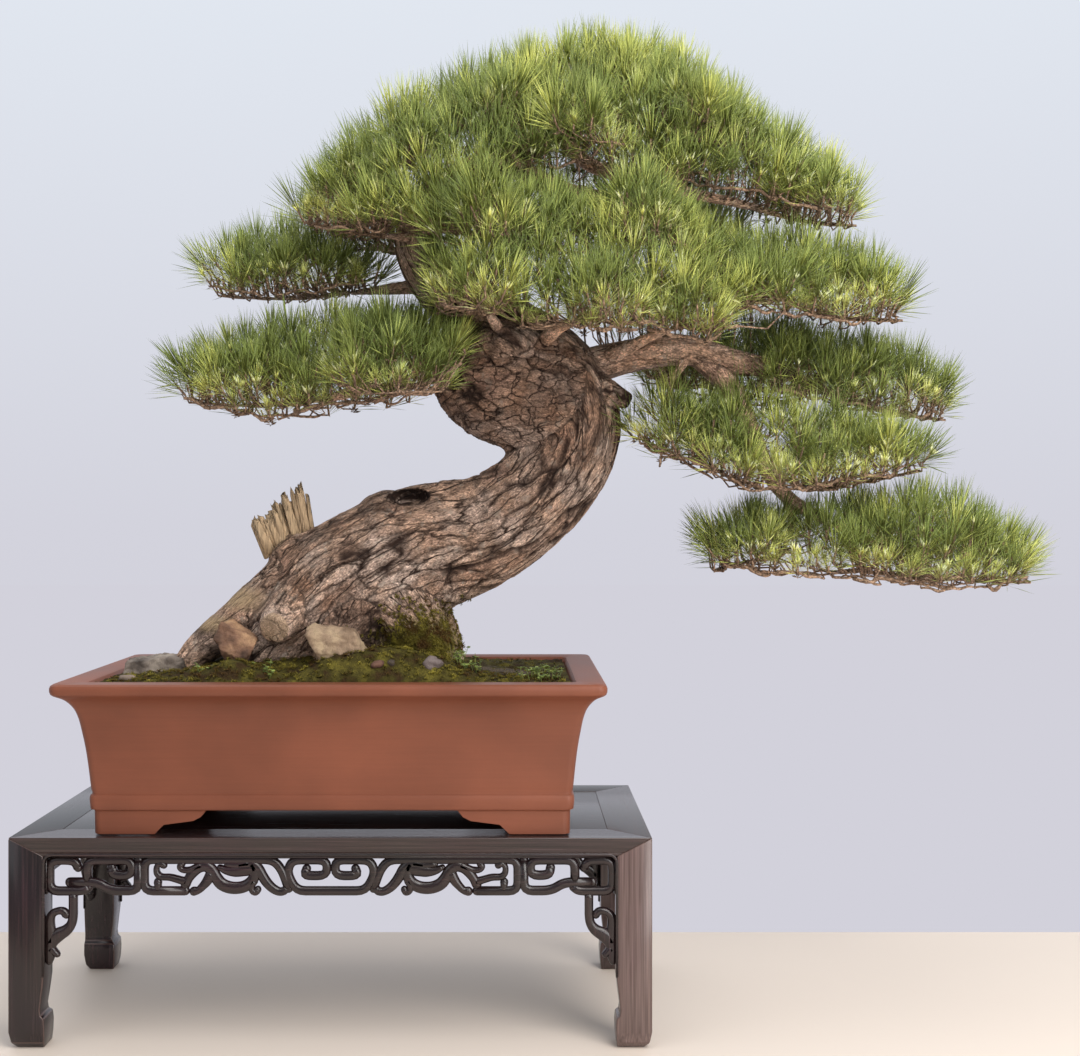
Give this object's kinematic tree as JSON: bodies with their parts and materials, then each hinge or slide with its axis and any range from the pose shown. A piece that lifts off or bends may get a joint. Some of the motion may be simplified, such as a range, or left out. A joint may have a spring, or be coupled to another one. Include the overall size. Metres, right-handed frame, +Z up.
{
  "type": "pine bonsai",
  "caption": "Old pine with a twisted trunk and flat sprays of needles, growing in a rectangular clay pot on a carved dark wooden stand.",
  "frame": {"origin": "on the floor under the middle of the whole object's bounding box", "axes": "+X to the right seen from the front, +Y away from the viewer, +Z up; the front of the stand and the pot faces -Y"},
  "size_m": [1.5784, 0.5862, 1.5383],
  "materials": {
    "rosewood": "dark stained rosewood, waxed, worn lighter at its edges",
    "clay": "unglazed reddish-brown stoneware",
    "soil": "gritty potting soil under patches of moss",
    "bark": "grey-brown plated pine bark, with bleached dead wood on the left",
    "rock": "rough tan stone",
    "needles": "fresh green pine needles on brown twigs"
  },
  "bodies": {
    "root": {"stand_rail_front": "rosewood", "stand_rail_back": "rosewood", "stand_rail_left": "rosewood", "stand_rail_right": "rosewood", "stand_panel": "rosewood", "stand_leg_front_left": "rosewood", "stand_leg_front_right": "rosewood", "stand_leg_back_left": "rosewood", "stand_leg_back_right": "rosewood", "stand_apron_front": "rosewood", "stand_apron_back": "rosewood", "stand_apron_left": "rosewood", "stand_apron_right": "rosewood", "stand_bracket_front_left": "rosewood", "stand_bracket_front_right": "rosewood", "stand_bracket_back_left": "rosewood", "stand_bracket_back_right": "rosewood", "stand_bracket_left_front": "rosewood", "stand_bracket_left_back": "rosewood", "stand_bracket_right_front": "rosewood", "stand_bracket_right_back": "rosewood", "pot": "clay", "soil": "soil", "trunk": "bark", "stone_left": "rock", "stone_right": "rock", "stone_flat": "rock", "spray_l1a": "needles", "spray_l1b": "needles", "spray_l1c": "needles", "spray_l2": "needles", "spray_l3": "needles", "spray_t3": "needles", "spray_t1a": "needles", "spray_t1b": "needles", "spray_t1c": "needles", "spray_t1d": "needles", "spray_t1f": "needles", "spray_t2a": "needles", "spray_t2b": "needles", "spray_c1a": "needles", "spray_c1b": "needles", "spray_c1c": "needles", "spray_c2a": "needles", "spray_c2b": "needles", "spray_r1l": "needles", "spray_r1r": "needles", "spray_r1b": "needles", "spray_r2a": "needles", "spray_r2b": "needles", "spray_br": "needles", "spray_r3a": "needles", "spray_r3b": "needles", "spray_r3l": "needles", "spray_r4a": "needles", "spray_r4b": "needles", "spray_r4c": "needles", "spray_b1": "needles", "spray_b2": "needles", "spray_b3": "needles"}
  },
  "joints": []
}
